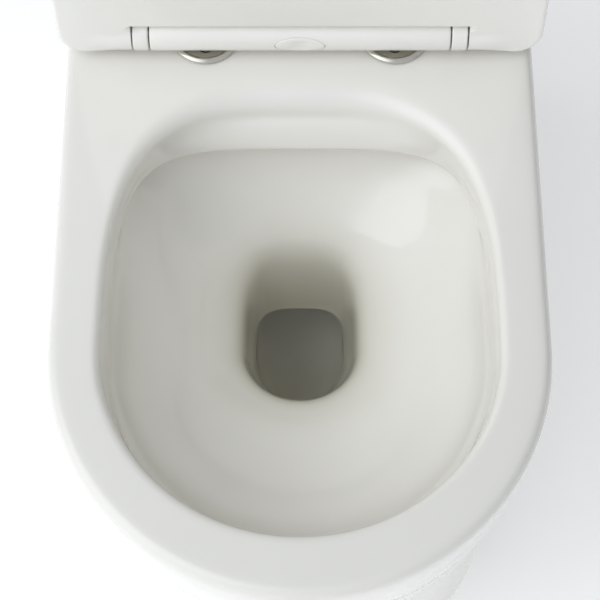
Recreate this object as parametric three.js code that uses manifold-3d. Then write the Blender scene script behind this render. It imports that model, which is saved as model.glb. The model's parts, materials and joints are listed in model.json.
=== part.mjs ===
// A close coupled toilet: a rimless D-shaped pan, a slim seat and lid on a quick-release hinge bar, and a cistern
// with its dual flush valve, fill valve and push buttons.
// Millimetres. +Z is up, the front faces -Y, and the origin is on the floor under the middle of the whole toilet.
import * as THREE from "three";
import { LoftGeometry } from "three/addons/geometries/LoftGeometry.js";
import { mergeVertices } from "three/addons/utils/BufferGeometryUtils.js";
import Module from "manifold-3d";

const wasm = await Module();
wasm.setup();

// ---- Driving dimensions ----
const DEPTH = 670; // front of the pan to the wall
const FRONT = -DEPTH / 2;
const BACK = DEPTH / 2;
const PAN_HALF = 185; // half the pan's width
const RIM_Z = 405; // top of the pan
const RIM_ARC_Y = -147; // where the parallel sides turn into the round front
const RIM_FILLET = 9;
const CHINA = 12; // wall thickness of the china
const FIT = 0.3; // gap between pieces that touch

const HINGE_Y = 112;
const HINGE_Z = RIM_Z + 20;
const HINGE_R = 15; // bar, lid ears and seat knuckles
const HINGE_GAP = 1.2; // side clearance between them
const BAR_HALF = 117;
const EAR_WIDTH = 12;
const OPEN_ANGLE = THREE.MathUtils.degToRad(97);
const POST_X = 75;
const STUD_Y = 120.5; // the posts are eccentric to their studs, for adjustment
const SHAFT_R = 4;

const SEAT_HALF = 189;
const SEAT_UNDER = -12; // below the hinge axis, when closed
const SEAT_THICK = 13;
const LID_UNDER = 4;
const LID_THICK = 12;
const RIM_BELOW_AXIS = RIM_Z - HINGE_Z; // where the buffers land on the rim, when closed

const TANK_Y = 266;
const TANK_HALF = 182;
const TANK_DEEP = 134;
const TANK_BOTTOM = RIM_Z + 8;
const TANK_TOP = 806;
const TANK_WALL = 11;
const TANK_FLOOR = TANK_BOTTOM + TANK_WALL;
const TANK_LID_TOP = 838;
const COUPLING_X = 80;
const FILL_X = -130;

const TRAP_R = 39; // inside radius of the trapway
const SPIGOT_Z = 185;
const SIDES = 12; // sides of a round piece

// ---- Materials ----
const surface = (color, roughness, metalness = 0) => new THREE.MeshStandardMaterial({ color, roughness, metalness });
const china = surface(0xeeeeea, 0.08);
const seatPlastic = surface(0xf0f1f0, 0.18);
const whitePlastic = surface(0xe6e8e8, 0.45);
const bluePlastic = surface(0x7fa3bf, 0.45);
const chrome = surface(0xd9d6d0, 0.12, 1);
const steel = surface(0xb4b6b8, 0.35, 1);
const rubber = surface(0x2c2c2c, 0.8);
const clearRubber = surface(0xdfe0dc, 0.6);

const toilet = new THREE.Group();

// ---- Solids ----
function solidOf(geometry) {
  const bare = new THREE.BufferGeometry();
  const loose = geometry.index ? geometry.toNonIndexed() : geometry;
  bare.setAttribute("position", loose.getAttribute("position"));
  const merged = mergeVertices(bare, 1e-4);
  const vertProperties = merged.attributes.position.array;
  const triVerts = new Uint32Array(merged.index.array);
  return new wasm.Manifold(new wasm.Mesh({ numProp: 3, vertProperties, triVerts }));
}

function geometryOf(solid) {
  const mesh = solid.getMesh();
  const corners = new Float32Array(mesh.numVert * 3);
  for (let i = 0; i < mesh.numVert; i++) {
    corners.set(mesh.vertProperties.subarray(i * mesh.numProp, i * mesh.numProp + 3), i * 3);
  }
  const geometry = new THREE.BufferGeometry();
  geometry.setAttribute("position", new THREE.BufferAttribute(corners, 3));
  geometry.setIndex(new THREE.BufferAttribute(mesh.triVerts, 1));
  const flat = geometry.toNonIndexed();
  flat.computeVertexNormals();
  return flat;
}

const join = (first, ...others) => others.reduce((sum, other) => sum.add(other), first);
const cut = (body, ...tools) => tools.reduce((rest, tool) => rest.subtract(tool), body);

function piece(name, shape, material, parent = toilet, place = [0, 0, 0]) {
  const geometry = shape.isBufferGeometry ? shape : geometryOf(shape);
  const mesh = new THREE.Mesh(geometry, material);
  mesh.name = name;
  mesh.position.set(...place);
  parent.add(mesh);
  return mesh;
}

// ---- Shapes ----
// A turned piece about +Z from [radius, height] points; it starts and ends on the axis, or closes on itself.
function turned(profile, sides = SIDES) {
  const points = profile.map(([r, z]) => new THREE.Vector2(r, z));
  return solidOf(new THREE.LatheGeometry(points, sides).rotateX(Math.PI / 2));
}

const rod = (r, low, high, sides = SIDES) => turned([[0, low], [r, low], [r, high], [0, high]], sides);

function ringOf(inner, outer, low, high, sides = SIDES) {
  return turned([[inner, low], [outer, low], [outer, high], [inner, high], [inner, low]], sides);
}

// A plastic nut with flats and a round bore.
function backnut(bore, r, low, high, flats, sides = SIDES) {
  return cut(rod(r, low, high, flats), rod(bore, low - 1, high + 1, sides));
}

// A rod along +X between two X values.
const rodX = (r, from, to, sides = SIDES) => rod(r, from, to, sides).rotate([0, 90, 0]);

function box(x0, x1, y0, y1, z0, z1) {
  const geometry = new THREE.BoxGeometry(x1 - x0, y1 - y0, z1 - z0);
  return solidOf(geometry.translate((x0 + x1) / 2, (y0 + y1) / 2, (z0 + z1) / 2));
}

function plate(outline, low, high, bevel = 0, segments = 2, curveSegments = 4) {
  const geometry = new THREE.ExtrudeGeometry(outline, {
    depth: high - low - 2 * bevel,
    bevelEnabled: bevel > 0,
    bevelThickness: bevel,
    bevelSize: bevel,
    bevelOffset: -bevel,
    bevelSegments: segments,
    curveSegments,
  });
  return solidOf(geometry.translate(0, 0, low + bevel));
}

// A D outline: parallel sides, a half-ellipse at the front and rounded back corners, anticlockwise from above.
function dOutline(half, front, arcY, back, corner) {
  const outline = new THREE.Shape();
  outline.moveTo(half, arcY);
  outline.lineTo(half, back - corner);
  outline.absarc(half - corner, back - corner, corner, 0, Math.PI / 2);
  outline.lineTo(-half + corner, back);
  outline.absarc(-half + corner, back - corner, corner, Math.PI / 2, Math.PI);
  outline.lineTo(-half, arcY);
  for (const part of [3, 4, 5]) {
    outline.absellipse(0, arcY, half, arcY - front, (part * Math.PI) / 3, ((part + 1) * Math.PI) / 3);
  }
  return outline;
}

function roundedRectangle(half, y0, y1, corner) {
  const outline = new THREE.Shape();
  outline.moveTo(half, y0 + corner);
  outline.lineTo(half, y1 - corner);
  outline.absarc(half - corner, y1 - corner, corner, 0, Math.PI / 2);
  outline.lineTo(-half + corner, y1);
  outline.absarc(-half + corner, y1 - corner, corner, Math.PI / 2, Math.PI);
  outline.lineTo(-half, y0 + corner);
  outline.absarc(-half + corner, y0 + corner, corner, Math.PI, 1.5 * Math.PI);
  outline.lineTo(half - corner, y0);
  outline.absarc(half - corner, y0 + corner, corner, 1.5 * Math.PI, 2 * Math.PI);
  return outline;
}

// A level oval ring: half-ellipse in front of its widest line, squared half-oval behind it.
function ovalRing({ z, half, front, widest, back, square }, grow = 0, count = 32) {
  return Array.from({ length: count }, (_, i) => {
    const angle = (2 * Math.PI * i) / count;
    const power = Math.sin(angle) > 0 ? 2 / square : 1;
    const x = Math.sign(Math.cos(angle)) * Math.abs(Math.cos(angle)) ** power;
    const y = Math.sign(Math.sin(angle)) * Math.abs(Math.sin(angle)) ** power;
    const reach = y > 0 ? back - widest + grow : widest - front + grow;
    return new THREE.Vector3((half + grow) * x, widest + reach * y, z);
  });
}

const loft = (rings) => solidOf(new LoftGeometry(rings, { capStart: true, capEnd: true }));

function pipe(points, r, steps) {
  const curve = new THREE.CatmullRomCurve3(points.map(([y, z]) => new THREE.Vector3(0, y, z)));
  const section = new THREE.Shape().absarc(0, 0, r, 0, 2 * Math.PI);
  const options = { extrudePath: curve, steps, curveSegments: 7, bevelEnabled: false };
  return solidOf(new THREE.ExtrudeGeometry(section, options));
}

// ---- Pan ----
// The outside, from the floor up: the foot tucks in under an overhanging rim with a rounded edge.
const SKIRT = [
  { z: 0, half: 168, front: -283 },
  { z: 5, half: 170, front: -286 },
  { z: 120, half: 170, front: -291 },
  { z: 230, half: 174, front: -304 },
  { z: 320, half: 181, front: -323 },
  { z: 370, half: 184.5, front: -333 },
  { z: RIM_Z - RIM_FILLET, half: PAN_HALF, front: FRONT },
];

function skirtRings(inset, low, high) {
  const levels = SKIRT.filter(({ z }) => z < high).map((s) => ({ ...s }));
  levels[0].z = low;
  levels.push({ ...SKIRT.at(-1), z: high });
  return levels.map(({ z, half, front }) => skirtRing(half - inset, front + inset, BACK - inset, z));
}

function skirtRing(half, front, back, z) {
  const points = dOutline(half, front, RIM_ARC_Y, back, 10).getPoints(4);
  const apart = points.filter((p, i) => p.distanceTo(points.at(i - 1)) > 1e-3);
  return apart.map((p) => new THREE.Vector3(p.x, p.y, z));
}

function panOutside() {
  const rings = skirtRings(0, 0, RIM_Z - RIM_FILLET).slice(0, -1);
  for (const turn of [0, 30, 60, 90]) {
    const angle = THREE.MathUtils.degToRad(turn);
    const inset = RIM_FILLET * (1 - Math.cos(angle));
    const z = RIM_Z - RIM_FILLET * (1 - Math.sin(angle));
    rings.push(skirtRing(PAN_HALF - inset, FRONT + inset, BACK - inset, z));
  }
  return loft(rings);
}

// The inside of the bowl, from the rim down through the well to the dip.
const BOWL = [
  { z: RIM_Z, half: 146.5, front: -290, widest: RIM_ARC_Y, back: 59, square: 3.2 },
  { z: 378, half: 144.4, front: -288, widest: RIM_ARC_Y, back: 60, square: 3.6 },
  { z: 350, half: 141.5, front: -285, widest: -141, back: 60, square: 4.6 },
  { z: 318, half: 126, front: -263, widest: -134, back: 49, square: 3.8 },
  { z: 290, half: 100, front: -229, widest: -120, back: 28, square: 3 },
  { z: 268, half: 71, front: -182, widest: -102, back: 11, square: 2.9 },
  { z: 248, half: 50, front: -131, widest: -84, back: 3, square: 3.4 },
  { z: 205, half: 44, front: -116, widest: -76, back: -4, square: 4 },
  { z: 165, half: 38.5, front: -99, widest: -62, back: -10, square: 4.5 },
];

const TRAPWAY = [
  [-62, 205], [-52, 155], [-5, 128], [45, 150], [88, 215], [122, 262],
  [165, 275], [208, 250], [240, 208], [275, 187], [300, SPIGOT_Z],
];
const SPIGOT_END = 318;

// The flush water runs forward in a flat duct and comes out under the shroud's lip at the back of the bowl.
const DUCT = { half: 45, low: 331, high: 354, front: 48, back: TANK_Y + 33 };
const INLET_R = 33;
const RECESS_R = 50;
const RECESS_DEEP = 10;

// From the bottom up, and a little above the rim at the top.
function bowlRings(grow) {
  const [top, ...below] = BOWL;
  return [{ ...top, z: RIM_Z + 1 }, ...below].map((s) => ovalRing(s, grow)).reverse();
}

function shroud() {
  const lip = { z: 357, half: 141, front: -290, widest: -111, back: 43, square: 4.4 };
  const top = { ...BOWL[0], z: RIM_Z + FIT };
  const behind = loft([ovalRing({ ...lip, back: 66 }, 6), ovalRing({ ...BOWL[0], back: 66, z: RIM_Z - FIT }, 6)]);
  const face = loft([ovalRing({ ...lip, z: lip.z - 1 }), ovalRing(lip), ovalRing(top)]);
  return cut(behind.intersect(box(-170, 170, -12, 80, lip.z, RIM_Z)), face);
}

// Where the screws through the skirt's sides hold the pan to its floor brackets.
const FIXING_Y = 170;
const FIXING_Z = 32;

function pan() {
  const outside = panOutside();
  const shell = cut(outside, loft(skirtRings(CHINA, -1, RIM_Z - CHINA)));
  const bowlWall = loft(bowlRings(CHINA - 2));
  const trapWall = pipe([...TRAPWAY, [SPIGOT_END, SPIGOT_Z]], TRAP_R + 10, 18);
  const d = DUCT;
  const ductWall = box(-d.half - 10, d.half + 10, d.front + 4, d.back + 10, d.low - 10, RIM_Z - 2);
  const body = join(shell, join(bowlWall, trapWall, ductWall).intersect(outside));

  const bowlHollow = loft(bowlRings(0));
  const trapHollow = pipe([...TRAPWAY, [SPIGOT_END + 2, SPIGOT_Z]], TRAP_R, 18);
  const ductHollow = box(-d.half, d.half, d.front, d.back, d.low, d.high);
  const inlet = rod(INLET_R, d.low, RIM_Z + 1).translate([0, TANK_Y, 0]);
  const recess = rod(RECESS_R, RIM_Z - RECESS_DEEP, RIM_Z + 1, 32).translate([0, TANK_Y, 0]);
  const hollow = cut(body, bowlHollow, trapHollow, ductHollow, inlet, recess);

  const backOpening = box(-120, 120, SPIGOT_END, BACK + 1, -1, 300);
  const holes = [-1, 1].flatMap((side) => [
    rod(7, RIM_Z - 20, RIM_Z + 1).translate([side * POST_X, STUD_Y, 0]),
    rod(6.5, RIM_Z - 20, RIM_Z + 1).translate([side * COUPLING_X, TANK_Y, 0]),
    rodX(5, side * 175 - 25, side * 175 + 25).translate([0, FIXING_Y, FIXING_Z]),
  ]);
  const supplyHole = rod(24, RIM_Z - 20, RIM_Z + 1).translate([FILL_X, TANK_Y, 0]);
  return cut(join(hollow, shroud()), backOpening, supplyHole, ...holes);
}

// Floor fixings: a block screwed to the floor inside each side of the skirt, and a screw into it through the side.
function floorFixing(side, name) {
  const wall = 170; // outside of the skirt at this height
  const group = new THREE.Group();
  group.position.set(0, FIXING_Y, 0);
  if (side < 0) group.rotation.z = Math.PI;
  const inner = wall - CHINA - 2.5;
  const block = cut(
    box(inner - 34, inner, -18, 18, 0, 44),
    rodX(2.8, inner - 26, inner + 1).translate([0, 0, FIXING_Z]),
    rod(3.4, -1, 45).translate([inner - 18, 10, 0]),
    box(inner - 30, inner - 6, 3, 19, 12, 45),
  );
  piece("floor_bracket_" + name, block, whitePlastic, group);
  const floorScrew = turned([[0, FIT], [3, FIT], [3, 12 + FIT], [6, 12 + FIT], [6, 15], [4, 17], [0, 17]]);
  piece("floor_screw_" + name, floorScrew, steel, group, [inner - 18, 10, 0]);
  const sideScrew = join(rodX(2.4, inner - 24, wall + 0.6), rodX(7.5, wall + 0.3, wall + 2));
  piece("side_screw_" + name, sideScrew, steel, group, [0, 0, FIXING_Z]);
  const cap = turned([[0, 2.3], [8, 2.3], [8, 0.3], [10, 0.3], [10, 2.2], [8.5, 4.2], [0, 4.8]]).rotate([0, 90, 0]);
  piece("side_cap_" + name, cap, chrome, group, [wall, 0, FIXING_Z]);
  toilet.add(group);
}

// ---- Hinge ----
function wingNut(bore, r, high, reach) {
  const collar = ringOf(bore, r, -high, 0);
  const wings = box(-reach, reach, -2, 2, -high, -high * 0.25);
  return cut(join(collar, wings), rod(bore, -high - 1, 1));
}

function hingeBase(side, name) {
  const x = side * POST_X;
  const washer = RIM_Z + FIT;
  const disc = washer + 1 + FIT;
  const gasket = ringOf(5, 24.5, washer, washer + 1);
  piece("hinge_gasket_" + name, gasket, rubber, toilet, [x, STUD_Y, 0]);
  const base = turned([[4.3, 0], [27, 0], [27, 0.9], [24.4, 2.7], [22.8, 2.7], [22.2, 2.2], [4.3, 2.2], [4.3, 0]], 24);
  piece("hinge_disc_" + name, base, chrome, toilet, [x, STUD_Y, disc]);
  const stud = turned([[0, -58], [3.2, -58], [4, -56], [4, 1.7], [3.4, 2], [0, 2]]);
  piece("hinge_stud_" + name, stud, steel, toilet, [x, STUD_Y, disc]);
  const post = turned([[0, 0], [6.5, 0], [6.5, 17], [4.5, 20], [0, 20]]);
  piece("hinge_post_" + name, post, chrome, toilet, [x, HINGE_Y, disc + 3]);
  const nut = wingNut(4 + FIT, 9.5, 16, 17);
  piece("hinge_wing_nut_" + name, nut, whitePlastic, toilet, [x, STUD_Y, RIM_Z - CHINA - FIT]);
}

const BUTTON_WIDE = 19.4; // half sizes of the release button's oval
const BUTTON_TALL = 7.4;
const BUTTON_UP = 1.2; // its middle above the bar's
const BUTTON_TRAVEL = 3.5;
const BAR_SIDES = 28;

function ovalAlongY(halfX, halfZ, from, to) {
  const outline = new THREE.Shape().absellipse(0, 0, halfX, halfZ, 0, 2 * Math.PI);
  return plate(outline, -to, -from, 0, 1, 14).rotate([90, 0, 0]);
}

function hingeBar() {
  const end = 1.5;
  const profile = [[0, -BAR_HALF], [HINGE_R - end, -BAR_HALF], [HINGE_R, -BAR_HALF + end]];
  profile.push([HINGE_R, BAR_HALF - end], [HINGE_R - end, BAR_HALF], [0, BAR_HALF]);
  const bar = turned(profile, BAR_SIDES).rotate([0, 90, 0]);
  const sockets = [-1, 1].flatMap((side) => [
    rod(7.1, -HINGE_R - 1, 10).translate([side * POST_X, 0, 0]),
    rodX(SHAFT_R + FIT, side * 104 - 16, side * 104 + 16),
  ]);
  const pocket = ovalAlongY(BUTTON_WIDE + 0.4, BUTTON_TALL + 0.4, -HINGE_R - 1, -1.5).translate([0, 0, BUTTON_UP]);
  return cut(bar, pocket, ...sockets);
}

function releaseButton() {
  const deep = -1.5 - BUTTON_TRAVEL - FIT;
  const oval = ovalAlongY(BUTTON_WIDE, BUTTON_TALL, -HINGE_R - 1, deep).translate([0, 0, BUTTON_UP]);
  const dimple = solidOf(new THREE.SphereGeometry(22, 20, 14)).translate([0, -HINGE_R - 20.7, BUTTON_UP]);
  return cut(oval.intersect(rodX(HINGE_R + 0.3, -30, 30, BAR_SIDES)), dimple);
}

function damper(side) {
  const shaft = rodX(SHAFT_R, 90, 151);
  return side < 0 ? shaft.rotate([0, 0, 180]) : shaft;
}

// ---- Seat and lid, closed and measured from the hinge axis; the group that holds them is turned open ----
const raised = new THREE.Group();
raised.position.set(0, HINGE_Y, HINGE_Z);
raised.rotation.x = -OPEN_ANGLE;
toilet.add(raised);

const NOTCH_HALF = BAR_HALF + 2 * HINGE_GAP + EAR_WIDTH;
const NOTCH_Y = -HINGE_R - 1.5;
const SEAT_TIP = FRONT - 2 - HINGE_Y;
const SEAT_ARC = RIM_ARC_Y - HINGE_Y;

function seatRing() {
  const outline = dOutline(SEAT_HALF, SEAT_TIP, SEAT_ARC, 13, 22);
  const slab = plate(outline, SEAT_UNDER, SEAT_UNDER + SEAT_THICK, 4);
  const hole = { half: 110, front: SEAT_TIP + 67, widest: -250, back: -135, square: 2.4 };
  const opening = loft([
    ovalRing({ ...hole, z: SEAT_UNDER - 1 }, 5),
    ovalRing({ ...hole, z: SEAT_UNDER + 5 }),
    ovalRing({ ...hole, z: SEAT_UNDER + 9 }),
    ovalRing({ ...hole, z: SEAT_UNDER + SEAT_THICK + 1 }, 5),
  ]);
  const knuckles = [-1, 1].map((side) => rodX(HINGE_R - 0.6, side * 150 - 20, side * 150 + 20, BAR_SIDES));
  const notch = box(-NOTCH_HALF, NOTCH_HALF, NOTCH_Y, 30, -30, 30);
  const bores = [-1, 1].map((side) => rodX(SHAFT_R + FIT, side * 140 - 14, side * 140 + 14));
  return cut(join(slab, ...knuckles), opening, notch, ...bores);
}

function lid() {
  const low = LID_UNDER;
  const high = LID_UNDER + LID_THICK;
  const slab = plate(dOutline(SEAT_HALF + 0.5, SEAT_TIP - 0.5, SEAT_ARC, NOTCH_Y, 10), low, high, 4);
  const earAt = BAR_HALF + HINGE_GAP;
  const ears = [-1, 1].flatMap((side) => {
    const from = Math.min(side * earAt, side * (earAt + EAR_WIDTH));
    const arm = box(from, from + EAR_WIDTH, NOTCH_Y - 6, 0, low, HINGE_R - 0.2);
    return [rodX(HINGE_R, from, from + EAR_WIDTH, BAR_SIDES), arm];
  });
  const bores = [-1, 1].map((side) => rodX(SHAFT_R + FIT, side * 125 - 12, side * 125 + 12));
  return cut(join(slab, ...ears), ...bores);
}

function buffer(halfX, halfY, low, high) {
  const outline = roundedRectangle(halfX, -halfY, halfY, Math.min(halfX, halfY) - 0.5);
  return plate(outline, low, high, 1, 1, 1);
}

function seatAndLid() {
  piece("seat_ring", seatRing(), seatPlastic, raised);
  piece("lid", lid(), seatPlastic, raised);
  const rimMid = PAN_HALF - 19; // the buffers land on the middle of the rim
  const places = { front: [0.7 * rimMid, SEAT_ARC - 0.7 * rimMid], rear: [rimMid, -145] };
  for (const [end, [x, y]] of Object.entries(places)) {
    for (const [name, side] of [["left", -1], ["right", 1]]) {
      const pad = buffer(6, 12, RIM_BELOW_AXIS + FIT, SEAT_UNDER - FIT);
      const mesh = piece(`seat_buffer_${end}_${name}`, pad, clearRubber, raised, [side * x, y, 0]);
      mesh.rotation.z = end === "front" ? (side * Math.PI) / -4 : 0;
    }
  }
  for (const [name, side] of [["left", -1], ["right", 1]]) {
    const pad = buffer(6, 6, SEAT_UNDER + SEAT_THICK + FIT, LID_UNDER - FIT);
    piece("lid_buffer_" + name, pad, clearRubber, raised, [side * 145, -300, 0]);
  }
}

// ---- Cistern ----
function tank() {
  const front = TANK_Y - TANK_DEEP / 2;
  const back = TANK_Y + TANK_DEEP / 2;
  const w = TANK_WALL;
  const outside = plate(roundedRectangle(TANK_HALF, front, back, 30), TANK_BOTTOM, TANK_TOP, 6);
  const squareTop = plate(roundedRectangle(TANK_HALF, front, back, 30), TANK_TOP - 20, TANK_TOP);
  const inside = plate(roundedRectangle(TANK_HALF - w, front + w, back - w, 15), TANK_FLOOR, TANK_TOP + 1);
  const holes = [
    rod(31, TANK_BOTTOM - 1, TANK_FLOOR + 1).translate([0, TANK_Y, 0]),
    rod(11, TANK_BOTTOM - 1, TANK_FLOOR + 1).translate([FILL_X, TANK_Y, 0]),
    ...[-1, 1].map((side) => rod(6.5, TANK_BOTTOM - 1, TANK_FLOOR + 1).translate([side * COUPLING_X, TANK_Y, 0])),
  ];
  return cut(join(outside, squareTop), inside, ...holes);
}

const BEZEL_R = 24;
const BEZEL_SIDES = 28;

function tankLid() {
  const front = TANK_Y - TANK_DEEP / 2 - 4;
  const back = BACK;
  const cap = plate(roundedRectangle(TANK_HALF + 4, front, back, 32), TANK_TOP + FIT, TANK_LID_TOP, 5, 3);
  const lip = plate(roundedRectangle(TANK_HALF - 13, front + 17, back - 15, 20), TANK_TOP - 9, TANK_TOP + 8);
  const pocket = plate(roundedRectangle(TANK_HALF - 22, front + 26, back - 24, 14), TANK_TOP - 10, TANK_LID_TOP - 12);
  const hole = rod(BEZEL_R + 1, TANK_TOP, TANK_LID_TOP + 1).translate([0, TANK_Y, 0]);
  return cut(join(cap, lip), pocket, hole);
}

function coupling(side, name) {
  const place = [side * COUPLING_X, TANK_Y, 0];
  const z = TANK_FLOOR;
  const washer = turned([[5.3, z + FIT], [13, z + FIT], [10, z + 5], [5.3, z + 5], [5.3, z + FIT]]);
  piece("coupling_washer_" + name, washer, rubber, toilet, place);
  const head = z + 5 + FIT;
  const bolt = turned([[0, 358], [5, 358], [5, head], [11, head], [11, head + 3], [8, head + 6], [0, head + 6]]);
  piece("coupling_bolt_" + name, bolt, steel, toilet, place);
  const nut = wingNut(5 + FIT, 10, 15, 20);
  piece("coupling_wing_nut_" + name, nut, whitePlastic, toilet, [place[0], TANK_Y, RIM_Z - CHINA - FIT]);
}

// ---- Flush valve: a shank through the cistern's floor, a cage above it and a plunger that lifts off its seat ----
const CAGE_TOP = 678;
const VALVE_R = 26;

function flushValve() {
  const place = [0, TANK_Y, 0];
  const z = TANK_FLOOR;
  piece("flush_valve_seal", ringOf(VALVE_R + FIT, 40, z + FIT, z + 3), rubber, toilet, place);
  const seat = z + 12;
  const base = turned([
    [22, 384], [VALVE_R, 384], [VALVE_R, z + 3 + FIT], [40, z + 3 + FIT], [40, z + 7], [31, seat], [22, seat], [22, 384],
  ]);
  const columns = [0, 1, 2, 3].map((i) => box(31, 37, -4, 4, z + 5, CAGE_TOP - 2).rotate([0, 0, 45 + 90 * i]));
  const collar = ringOf(13, 37, 552, 562);
  const spokes = ringOf(31, 38, 640, CAGE_TOP);
  const head = rod(38, CAGE_TOP - 6, CAGE_TOP);
  piece("flush_valve_body", join(base, ...columns, collar, spokes, head), whitePlastic, toilet, place);
  const nutTop = TANK_BOTTOM - FIT;
  piece("flush_valve_nut", backnut(VALVE_R + FIT, 37, nutTop - 12, nutTop, 8), whitePlastic, toilet, place);
  const doughnut = turned([[39, 395.3], [48, 395.3], [49, 404], [45, nutTop], [39, nutTop], [39, 395.3]]);
  piece("doughnut_seal", doughnut, rubber, toilet, place);
  const s = seat + FIT;
  const plunger = turned([
    [9.5, s], [28, s], [28, s + 4], [20, s + 6], [12, s + 14], [12, 610], [9.5, 610], [9.5, s],
  ]);
  piece("flush_plunger", plunger, bluePlastic, toilet, place);
}

// ---- Fill valve: a column with a cup float that slides on it and lifts a lever ----
const ARM_Z = 728;
const ARM_PIVOT = 24; // right of the column
const ARM_REACH = 57; // pivot to where the float's rod pushes

function fillValve() {
  const place = [FILL_X, TANK_Y, 0];
  const z = TANK_FLOOR;
  piece("fill_valve_washer", ringOf(10 + FIT, 17, z + FIT, z + 3), rubber, toilet, place);
  const column = turned([
    [0, 372], [10, 372], [10, z + 3 + FIT], [17, z + 3 + FIT], [17, z + 8], [10, z + 14], [10, 690], [17, 694],
    [17, ARM_Z - 8], [0, ARM_Z - 8],
  ]);
  const bracket = box(15, ARM_PIVOT + 5, -10, 10, 700, ARM_Z - 8);
  const cheeks = [-1, 1].map((side) => box(ARM_PIVOT - 5, ARM_PIVOT + 5, side * 8 - 2, side * 8 + 2, 700, ARM_Z + 6));
  const pivotHole = rod(2.6, -12, 12).rotate([90, 0, 0]).translate([ARM_PIVOT, 0, ARM_Z]);
  const bore = rod(6, 371, 395);
  const body = cut(join(column, bracket, ...cheeks), pivotHole, bore);
  piece("fill_valve_body", body, whitePlastic, toilet, place);
  const nutTop = TANK_BOTTOM - FIT;
  piece("fill_valve_nut", backnut(10 + FIT, 16, nutTop - 10, nutTop, 6), whitePlastic, toilet, place);

  const cup = turned([[10.8, 560], [13, 560], [13, 632], [23, 632], [23, 570], [25, 570], [25, 640], [10.8, 640], [10.8, 560]]);
  const rodAt = ARM_PIVOT - ARM_REACH;
  const link = join(box(rodAt - 3, rodAt + 13, -3, 3, 634, 640), rod(2.5, 636, ARM_Z - 5).translate([rodAt, 0, 0]));
  piece("fill_valve_float", join(cup, link), bluePlastic, toilet, place);

  const lever = box(-ARM_REACH - 6, 5, -5, 5, -3, 3);
  const pin = rod(2.2, -9.5, 9.5).rotate([90, 0, 0]);
  const arm = piece("fill_valve_arm", join(lever, pin), whitePlastic, toilet, place);
  arm.position.x += ARM_PIVOT;
  arm.position.z = ARM_Z;
}

// ---- Push buttons in the cistern's lid ----
const PUSH_TRAVEL = 8;
const SPLIT_X = -6; // the line between the two buttons

function pushButtons() {
  const group = new THREE.Group();
  group.position.set(0, TANK_Y, TANK_LID_TOP);
  toilet.add(group);
  const bezel = turned([
    [22, -30], [BEZEL_R, -30], [BEZEL_R, FIT], [34, FIT], [34, 1.2], [31, 3.2], [23.5, 3.6], [22, 2.4], [22, -30],
  ], BEZEL_SIDES);
  piece("button_bezel", bezel, chrome, group);
  piece("button_nut", backnut(BEZEL_R + FIT, 33, -27, -12 - FIT, 12, BEZEL_SIDES), whitePlastic, group);
  const cap = turned([[0, -9], [21.4, -9], [21.4, 3], [20, 4.4], [0, 5.4]], BEZEL_SIDES);
  const half = cap.intersect(box(-30, SPLIT_X - FIT, -30, 30, -30, 30));
  const full = cap.intersect(box(SPLIT_X + FIT, 30, -30, 30, -30, 30));
  piece("half_flush_button", half, chrome, group);
  piece("full_flush_button", full, chrome, group);
  const long = TANK_LID_TOP - CAGE_TOP - PUSH_TRAVEL - 1;
  piece("half_flush_rod", rod(2.5, -long, -9 - FIT, 12), whitePlastic, group, [-13, 0, 0]);
  piece("full_flush_rod", rod(2.5, -long, -9 - FIT, 12), whitePlastic, group, [6, 0, 0]);
}

// ---- Assembly ----
piece("pan", pan(), china);
for (const [name, side] of [["left", -1], ["right", 1]]) {
  floorFixing(side, name);
  hingeBase(side, name);
  piece("hinge_damper_" + name, damper(side), steel, toilet, [0, HINGE_Y, HINGE_Z]);
  coupling(side, name);
}
piece("hinge_bar", hingeBar(), seatPlastic, toilet, [0, HINGE_Y, HINGE_Z]);
piece("hinge_release_button", releaseButton(), seatPlastic, toilet, [0, HINGE_Y, HINGE_Z]);
seatAndLid();
piece("tank", tank(), china);
piece("tank_lid", tankLid(), china);
flushValve();
fillValve();
pushButtons();

export default toilet;
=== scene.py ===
import json
import math

import bmesh
import bpy
from mathutils import Matrix, Vector


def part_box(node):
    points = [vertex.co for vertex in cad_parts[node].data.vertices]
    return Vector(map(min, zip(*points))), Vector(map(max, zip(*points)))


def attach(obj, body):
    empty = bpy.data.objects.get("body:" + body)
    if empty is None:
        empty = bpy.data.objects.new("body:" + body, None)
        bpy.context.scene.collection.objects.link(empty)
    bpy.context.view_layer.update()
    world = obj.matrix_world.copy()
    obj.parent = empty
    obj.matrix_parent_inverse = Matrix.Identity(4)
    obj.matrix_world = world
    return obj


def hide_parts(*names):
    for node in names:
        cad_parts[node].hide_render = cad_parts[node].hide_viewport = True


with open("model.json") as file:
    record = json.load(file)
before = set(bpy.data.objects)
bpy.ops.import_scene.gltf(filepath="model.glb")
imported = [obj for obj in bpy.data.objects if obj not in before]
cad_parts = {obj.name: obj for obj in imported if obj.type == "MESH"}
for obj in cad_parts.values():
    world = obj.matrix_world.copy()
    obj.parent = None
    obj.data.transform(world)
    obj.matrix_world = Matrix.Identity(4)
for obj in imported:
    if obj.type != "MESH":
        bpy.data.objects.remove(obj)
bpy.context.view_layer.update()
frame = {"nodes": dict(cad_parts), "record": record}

# A close coupled toilet. Shapes are worked out in millimetres, in the frame's axes: front -Y, up +Z,
# and the floor at 0. A piece is scaled to metres when it is made.
MM = 0.001

PAN_HALF = 185
PAN_FRONT = -335
PAN_BACK = 335
PAN_CORNER = 10
RIM_Z = 405
RIM_FILLET = 9
CHINA = 12  # thickness of the pan's walls
ARC_Y = -147  # centre of the pan's rounded front
SKIRT_HALF = 170  # the skirt's half width and front near the floor, below where it leans out to the rim
SKIRT_FRONT = -291
LEAN_FROM = 120
LEAN_TO = 396
FIXING_Y = 170  # the screws through the skirt's sides
FIXING_Z = 32
FIT = 0.3  # gap between pieces that touch

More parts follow.
